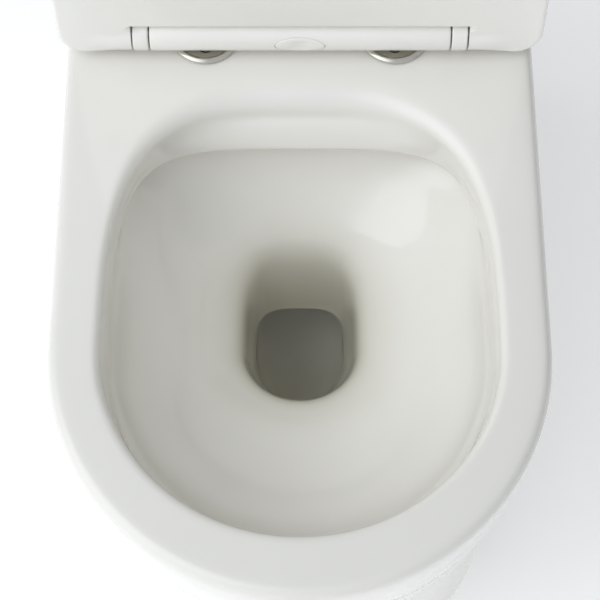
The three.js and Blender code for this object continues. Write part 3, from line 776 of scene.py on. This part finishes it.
def release_button():
    """An oval button that follows the bar's round front, with a soft thumb hollow."""
    rings = []
    for part in (0.0001, 0.12, 0.25, 0.38, 0.5, 0.62, 0.74, 0.84, 0.91, 0.955, 0.98, 0.992, 1.0):
        fall = max(0, part - 0.955) / 0.045
        ring = []
        for i in range(OVAL_STEPS):
            a = 2 * math.pi * i / OVAL_STEPS
            x, z = BUTTON_WIDE * part * math.cos(a), BUTTON_UP + BUTTON_TALL * part * math.sin(a)
            front = -math.sqrt((HINGE_R + 0.3) ** 2 - z * z)  # a little proud of the bar
            hollow = 1.4 * math.exp(-((x / 7.5) ** 4) - ((z - BUTTON_UP) / 4.4) ** 4)
            ring.append(Vector((x, front + hollow + 0.7 * fall * fall, z)))
        rings.append(ring)
    rings.append([Vector((p.x, BUTTON_BACK, p.z)) for p in rings[-1]])
    mesh = ring_loft(rings, end_cap=True)
    bmesh.ops.remove_doubles(mesh, verts=mesh.verts, dist=0.01)
    bmesh.ops.holes_fill(mesh, edges=[e for e in mesh.edges if e.is_boundary], sides=0)
    bmesh.ops.recalc_face_normals(mesh, faces=mesh.faces)
    bmesh.ops.translate(mesh, vec=(0, HINGE_Y, HINGE_Z), verts=mesh.verts)
    made = make_piece(mesh, "release_button", bar_plastic)
    settle(made, "release_button", "hinge_release_button")


def hinge_base(side, name):
    """A chrome disc with a raised rim on its gasket, and the post that the bar drops over."""
    x = side * POST_X
    disc_z = RIM_Z + 1.6
    profile = [(4.3, 0), (26.4, 0), (27, 0.5)] + arc(25.8, 0.7, 1.2, 0, 50, 4)
    profile += [(24.9, 2.4), (24.4, 2.65), (23.9, 2.7), (23.2, 2.6), (22.8, 2.2), (22.5, 1.95), (21.5, 1.9)]
    profile += [(8, 2.0), (4.3, 2.0), (4.3, 0)]
    disc = make_piece(turned(profile, 96, (x, STUD_Y, disc_z)), "hinge_base_" + name, chrome, sharp=45)
    settle(disc, "pan_and_tank", "hinge_disc_" + name)
    profile = [(5, 0), (24.2, 0), (24.5, 0.3), (24.5, 0.7), (24.2, 1), (5, 1), (5, 0)]
    gasket = make_piece(turned(profile, 72, (x, STUD_Y, RIM_Z + FIT)), "base_gasket_" + name, rubber)
    settle(gasket, "pan_and_tank", "hinge_gasket_" + name)
    profile = [(0, 0), (6.5, 0), (6.5, 17), (6, 18.6), (4.9, 19.6), (4, 20), (0, 20)]
    post = make_piece(turned(profile, 48, (x, HINGE_Y, disc_z + 3)), "post_" + name, chrome)
    settle(post, "pan_and_tank", "hinge_post_" + name)


# ---- Seat and lid, shaped closed about the hinge axis ----
NOTCH_HALF = BAR_HALF + 2 * HINGE_GAP + EAR_WIDE
NOTCH_Y = -HINGE_R - 1.5
SEAT_HALF = 189
SEAT_TIP = PAN_FRONT - 2 - HINGE_Y
SEAT_ARC = ARC_Y - HINGE_Y
SEAT_BACK = 13
SEAT_LOW, SEAT_HIGH = -12, 1
LID_LOW, LID_HIGH = 4, 16
CURVE_STEPS = 96
# The seat's opening: half its width, where it is widest, and its reach behind and in front of that.
HOLE_HALF = 113
HOLE_Y = -250
HOLE_REAR = 117
HOLE_FRONT = 135
HOLE_SQUARE = 2.4  # squareness of its back


def front_curve(half, tip):
    """The rounded front, from the left side to the right."""
    deep = SEAT_ARC - tip
    angles = [math.pi * (1 + i / CURVE_STEPS) for i in range(CURVE_STEPS + 1)]
    return [(half * math.cos(a), SEAT_ARC + deep * math.sin(a)) for a in angles]


def seat():
    corner = 22
    horn = 0.8
    outline = front_curve(SEAT_HALF, SEAT_TIP)
    outline += arc(SEAT_HALF - corner, SEAT_BACK - corner, corner, 0, 90, 12)
    outline += arc(NOTCH_HALF + horn, SEAT_BACK - horn, horn, 90, 180, 5)
    outline += [(NOTCH_HALF, NOTCH_Y + 0.6), (NOTCH_HALF - 0.6, NOTCH_Y)]
    outline += [(-x, y) for x, y in reversed(outline[CURVE_STEPS + 1:])]
    hole = []
    for i in range(CURVE_STEPS):
        a = 2 * math.pi * i / CURVE_STEPS
        power = 2 / HOLE_SQUARE if math.sin(a) > 0 else 1
        x = HOLE_HALF * math.copysign(abs(math.cos(a)) ** power, math.cos(a))
        up = math.copysign(abs(math.sin(a)) ** power, math.sin(a))
        hole.append((x, HOLE_Y + (HOLE_REAR if up > 0 else HOLE_FRONT) * up))
    mesh = plate(outline, SEAT_LOW, SEAT_HIGH, 4, hole, 5, keep=beside_ear)
    raise_knuckles(mesh)
    turn_open(mesh)
    made = make_piece(mesh, "seat", seat_plastic, flat_true=True)
    settle(made, "seat", "seat_ring")


def beside_ear(edge):
    """Whether an edge of the seat runs up the notch beside a lid ear."""
    return all(abs(v.co.x) < NOTCH_HALF + 0.1 and v.co.y > NOTCH_Y + 0.5 for v in edge.verts)


def raise_knuckles(mesh):
    """Swells the seat beside each ear into a round boss about the hinge, dying away to the corner."""
    def slice_at(at, normal):
        skin = mesh.verts[:] + mesh.edges[:] + mesh.faces[:]
        bmesh.ops.bisect_plane(mesh, geom=skin, plane_co=at, plane_no=normal)
    slices, pitch_x, pitch_y, first_y, middle_z = 17, 3.2, 2.1, 12.2, -5.5
    for side in (-1, 1):
        for k in range(slices):
            slice_at((side * (NOTCH_HALF + 0.6 + pitch_x * k), 0, 0), (1, 0, 0))
    for k in range(slices):
        slice_at((0, first_y - pitch_y * k, 0), (0, 1, 0))
    slice_at((0, 0, middle_z), (0, 0, 1))
    r = HINGE_R - 0.6
    for vert in mesh.verts:
        x, y, z = abs(vert.co.x), vert.co.y, vert.co.z
        if x < NOTCH_HALF - 0.1 or y < -22:
            continue
        swell = 1 - smoothstep((x - NOTCH_HALF - 4) / 40)
        rise = math.sqrt(max(r * r - min(abs(y), r) ** 2, 0))
        near = smoothstep((y + 21) / 14)
        if z < middle_z - 0.1:
            target = min(-rise, SEAT_LOW) if y < 6 else -rise
            vert.co.z += (target - z) * swell * near
        elif z > middle_z + 0.1:
            target = max(rise, SEAT_HIGH) if y < 6 else rise
            vert.co.z += (target - z) * swell
        else:
            vert.co.z -= middle_z * swell * near
            if y > 10:
                vert.co.y += (r - SEAT_BACK) * swell


def lid():
    corner = 10
    outline = front_curve(SEAT_HALF + 0.5, SEAT_TIP - 0.5)
    outline += arc(SEAT_HALF + 0.5 - corner, NOTCH_Y - corner, corner, 0, 90, 8)
    outline += [(-x, y) for x, y in reversed(outline[CURVE_STEPS + 1:])]
    parts = [plate(outline, LID_LOW, LID_HIGH, 4, None, 5)]
    start = BAR_HALF + HINGE_GAP
    half = EAR_WIDE / 2
    for side in (-1, 1):
        middle = side * (start + half)
        parts.append(turned(bar_profile(half, HINGE_R, 1.2), 96, (middle, 0, 0), "Y", math.pi / 2))
        parts.append(block(middle - half, middle + half, NOTCH_Y - 6, 0, LID_LOW, HINGE_R - 0.2, 1, 2))
    mesh = joined(*parts)
    turn_open(mesh)
    made = make_piece(mesh, "seat_lid", seat_plastic, flat_true=True)
    settle(made, "lid", "lid")


# ---- Cistern ----
def box_ring(half, y0, y1, corner, z):
    """A rounded rectangle, from its front right corner round to the right, the back and the left."""
    points = []
    for cx, cy, start in ((half, y0, -90), (half, y1, 0), (-half, y1, 90), (-half, y0, 180)):
        mx = cx - math.copysign(corner, cx)
        my = cy + (corner if cy == y0 else -corner)
        points += arc(mx, my, corner, start, start + 90, 8)
        # The straight side that follows.
        x, y = points[-1]
        if start in (-90, 90):
            far_x, far_y = x, (y1 - corner if start == -90 else y0 + corner)
        else:
            far_x, far_y = (corner - half if start == 0 else half - corner), y
        points += [(x + (far_x - x) * k / 6, y + (far_y - y) * k / 6) for k in range(1, 6)]
    return [Vector((x, y, z)) for x, y in points]


def tank():
    """The cistern, from the middle of its underside round and down to its floor inside, with four holes."""
    wall, low, top = TANK_WALL, TANK_BOTTOM, TANK_TOP
    def at(inset, z):
        half, front, back = TANK_HALF - inset, TANK_FRONT + inset, TANK_BACK - inset
        return box_ring(half, front, back, max(30 - inset, 6), z)
    rings = [at(60, low), at(12, low), at(6, low)]
    for deg in (30, 60, 90):
        a = math.radians(deg)
        rings.append(at(6 - 6 * math.sin(a), low + 6 - 6 * math.cos(a)))
    rings += [at(0, z) for z in (440, 520, 620, 720, 780, top - 4)]
    rings += [at(0.6, top - 1.4), at(2, top), at(wall - 2, top), at(wall - 0.6, top - 1.4)]
    rings += [at(wall, z) for z in (top - 4, 780, 720, 620, 520, 450, 434)]
    rings += [at(wall + 3, low + 14), at(wall + 9, low + 12), at(60, low + 12)]
    mesh = ring_loft(rings, start_cap=True, end_cap=True)
    made = make_piece(mesh, "cistern", cistern_glaze, sharp=50, flat_true=True)
    for x, r in ((0, 31), (FILL_X, 11), (-COUPLING_X, 6.5), (COUPLING_X, 6.5)):
        drill = [(0, low - 13), (r, low - 13), (r, low + 27), (0, low + 27)]
        carve(made, turned(drill, 48, (x, TANK_Y, 0)))
    settle(made, "pan_and_tank", "tank")


def tank_lid():
    """A gently crowned lid with a rounded brim, a lip inside the cistern and a hole for the buttons."""
    low, high = TANK_TOP + FIT, TANK_LID_TOP
    lip, brow = TANK_TOP - 9, TANK_LID_TOP - 9  # the end of the lip inside, and where the brim turns in
    hole = 25
    def at(inset, z):
        half, front, back = TANK_HALF + 4 - inset, TANK_FRONT - 4 + inset, TANK_BACK + 2 - inset
        return box_ring(half, front, back, max(32 - inset, 6), z)
    angles = [math.atan2(p.y - TANK_Y, p.x) for p in at(0, 0)]
    def round_hole(r, z):
        return [Vector((r * math.cos(a), TANK_Y + r * math.sin(a), z)) for a in angles]
    rings = [round_hole(hole, high - 12), at(26, high - 12), at(24, high - 14), at(24, lip + 1)]
    rings += [at(23, lip), at(18, lip), at(17, lip + 1), at(17, low - 0.2), at(16, low), at(3, low)]
    rings += [at(1, low + 0.6), at(0, low + 2.5), at(0, 816), at(0, 824), at(0.6, brow)]
    for deg in (20, 40, 60, 80):
        a = math.radians(deg)
        rings.append(at(0.6 + 8 * (1 - math.cos(a)), brow + 7.2 * math.sin(a)))
    rings += [at(14, high - 1), at(26, high - 0.4)]
    flat = at(34, high - 0.1)
    ring_hole = round_hole(hole + 12, high)
    rings += [flat, [p.lerp(q, 0.5) for p, q in zip(flat, ring_hole)], ring_hole, round_hole(hole + 1, high)]
    rings += [round_hole(hole, high - 0.8)]
    rings.append([p.copy() for p in rings[0]])
    made = make_piece(ring_loft(rings, closed=True), "cistern_lid", cistern_glaze, sharp=60, levels=1)
    settle(made, "tank_lid_body", "tank_lid")


SPLIT_X = -6  # the line between the half flush and the full flush


def half_disc(side):
    """One part of the round double button, cut along a line front to back. Side is 1 for the right part."""
    low, edge_z = TANK_LID_TOP - 9, TANK_LID_TOP + 2.8
    edge_r, round_r = 21.4, 1.6
    profile = [(0, low), (edge_r - 0.4, low), (edge_r, low + 0.4), (edge_r, edge_z)]
    profile += arc(edge_r - round_r, edge_z, round_r, 0, 75, 6)[1:]
    profile += [(15, edge_z + 2), (8, edge_z + 2.4), (0, edge_z + 2.6)]
    mesh = turned(profile, 96, (0, TANK_Y, 0))
    cut_x = SPLIT_X + side * FIT
    cut = bmesh.ops.bisect_plane(
        mesh, geom=mesh.verts[:] + mesh.edges[:] + mesh.faces[:], plane_co=(cut_x, 0, 0),
        plane_no=(side, 0, 0), clear_inner=True,
    )["geom_cut"]
    bmesh.ops.holes_fill(mesh, edges=[e for e in cut if isinstance(e, bmesh.types.BMEdge)], sides=0)
    mesh.normal_update()
    edges = [e for e in mesh.edges if e.is_manifold and e.calc_face_angle() > 0.9
             and all(abs(v.co.x - cut_x) < 0.01 for v in e.verts)]
    bmesh.ops.bevel(mesh, geom=edges, offset=0.8, segments=3, profile=0.5, affect="EDGES", material=-1)
    return mesh


def buttons():
    """The double button and its bezel: a flange on the lid over a tube as long as the CAD's."""
    low = TANK_LID_TOP + FIT
    flange = [(22, low), (33.4, low), (34, low + 0.6)] + arc(32.6, low + 0.8, 1.4, 0, 70, 4)
    flange += [(28, low + 3.3), (24, low + 3.9), (22.7, low + 3.8), (22.1, low + 3.2), (22, low)]
    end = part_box("button_bezel")[0].z / MM
    tube = [(22, low), (24, low), (24, end), (22, end), (22, low)]
    bezel = joined(turned(flange, 96, (0, TANK_Y, 0)), turned(tube, 96, (0, TANK_Y, 0)))
    settle(make_piece(bezel, "bezel", chrome), "tank_lid_body", "button_bezel")
    full = make_piece(half_disc(1), "full_button", chrome, sharp=50, flat_true=True)
    settle(full, "full_button", "full_flush_button")
    half = make_piece(half_disc(-1), "half_button", chrome, sharp=50, flat_true=True)
    settle(half, "half_button", "half_flush_button")


def pad(half_x, half_y, low, high, place, turn=0.0):
    """A soft buffer: a small oblong pad with its edges rounded off."""
    corner = min(half_x, half_y) - 0.4
    outline = []
    for quarter, (sx, sy) in enumerate(((1, 1), (-1, 1), (-1, -1), (1, -1))):
        cx, cy = sx * (half_x - corner), sy * (half_y - corner)
        outline += arc(cx, cy, corner, 90 * quarter, 90 * (quarter + 1), 8)
    mesh = plate(outline, low, high, 0.9)
    bmesh.ops.rotate(mesh, cent=(0, 0, 0), matrix=Matrix.Rotation(turn, 3, "Z"), verts=mesh.verts)
    bmesh.ops.translate(mesh, vec=place, verts=mesh.verts)
    turn_open(mesh)
    return mesh


def buffers():
    on_rim = 166  # where the buffers land: the middle of the rim
    askew = 0.7 * on_rim  # the front ones stand on the curve and turn with it
    rim, under, top, lid_under = RIM_Z + FIT - HINGE_Z, SEAT_LOW - FIT, SEAT_HIGH + FIT, LID_LOW - FIT
    for side, name in ((-1, "left"), (1, "right")):
        front = pad(6, 12, rim, under, (side * askew, SEAT_ARC - askew, 0), -side * math.pi / 4)
        rear = pad(6, 12, rim, under, (side * on_rim, -145, 0))
        for mesh, end in ((front, "front"), (rear, "rear")):
            soft = make_piece(mesh, f"seat_pad_{end}_{name}", clear_rubber, sharp=50)
            settle(soft, "seat", f"seat_buffer_{end}_{name}")
        mesh = pad(6, 6, top, lid_under, (side * 145, -300, 0))
        soft = make_piece(mesh, "lid_pad_" + name, clear_rubber, sharp=50)
        settle(soft, "lid", "lid_buffer_" + name)


def side_caps():
    profile = [(0, 2.3), (8, 2.3), (8, 0.3), (9.7, 0.3), (10, 0.6), (10, 2.2)]
    profile += arc(8.1, 2.3, 1.9, 0, 75, 6)[1:] + [(6.5, 4.45), (3.5, 4.7), (0, 4.8)]
    for side, name in ((-1, "left"), (1, "right")):
        mesh = turned(profile, 64, (side * SKIRT_HALF, FIXING_Y, FIXING_Z), "Y", side * math.pi / 2)
        settle(make_piece(mesh, "skirt_cap_" + name, chrome), "pan_and_tank", "side_cap_" + name)


# ---- Inside the cistern and under the deck ----
def overflow_tube():
    """The flush plunger: a wide foot on the valve's seat, and a tube with three shallow bands."""
    base = 439.3  # the top of the flush valve's seat
    mouth = 610
    profile = [(9.5, base), (27.6, base), (28, base + 0.4), (28, base + 3.4), (27.4, base + 4)]
    profile += [(20, base + 6), (14.5, base + 9)] + arc(20.5, base + 17, 8.5, 225, 180, 4) + [(12, 470)]
    for z in (500, 540, 580):
        profile += [(12, z - 1), (11.4, z), (11.4, z + 4), (12, z + 5)]
    profile += [(12, mouth - 0.6), (11.4, mouth), (10.1, mouth), (9.5, mouth - 0.6), (9.5, base)]
    tube = make_piece(turned(profile, 72, (0, TANK_Y, 0)), "overflow_tube", blue_plastic, sharp=40)
    settle(tube, "plunger", "flush_plunger")


def wing_nut(bore, r, high, reach, place):
    """A collar with two rounded wings, threaded on from below."""
    collar = [(bore, -high), (r - 0.8, -high), (r, 0.8 - high), (r, -1.5), (r + 1.2, -1.0), (r + 1.2, 0)]
    ring = turned(collar + [(bore, 0), (bore, -high)], 48)
    wings = []
    for side in (-1, 1):
        near, far = sorted((side * (r - 1.5), side * reach))
        wings.append(block(near, far, -2, 2, -high, -high * 0.25, 0.9))
    nut = joined(ring, *wings)
    bmesh.ops.translate(nut, vec=place, verts=nut.verts)
    return nut


def under_deck():
    """The wing nuts that hold the seat's studs and the cistern's bolts, up against the china."""
    high = RIM_Z - CHINA - FIT
    for side, name in ((-1, "left"), (1, "right")):
        nut = wing_nut(4.3, 8.3, 16, 17, (side * POST_X, STUD_Y, high))
        seat_nut = make_piece(nut, "seat_nut_" + name, white_plastic)
        settle(seat_nut, "pan_and_tank", "hinge_wing_nut_" + name)
        nut = wing_nut(5.3, 8.8, 15, 20, (side * COUPLING_X, TANK_Y, high))
        tank_nut = make_piece(nut, "cistern_nut_" + name, white_plastic)
        settle(tank_nut, "pan_and_tank", "coupling_wing_nut_" + name)


# ---- Everything else keeps its CAD shape and takes a finish ----
FINISHES = {
    "glazed_china": glaze,
    "seat_plastic": seat_plastic,
    "white_plastic": white_plastic,
    "blue_plastic": blue_plastic,
    "chrome": chrome,
    "steel": steel,
    "rubber": rubber,
    "soft_buffer": clear_rubber,
}


def dress_frame():
    slots = {row["node"]: row["material_slot"] for row in frame["record"]["subparts"]}
    for name, node in frame["nodes"].items():
        finish = FINISHES[slots[name]]
        if node.data.materials:
            for i in range(len(node.data.materials)):
                node.data.materials[i] = finish
        else:
            node.data.materials.append(finish)


camera()
studio()
floor()
dress_frame()
pan()
hinge_bar()
release_button()
for side, name in ((-1, "left"), (1, "right")):
    hinge_base(side, name)
seat()
lid()
tank()
tank_lid()
buttons()
buffers()
side_caps()
overflow_tube()
under_deck()
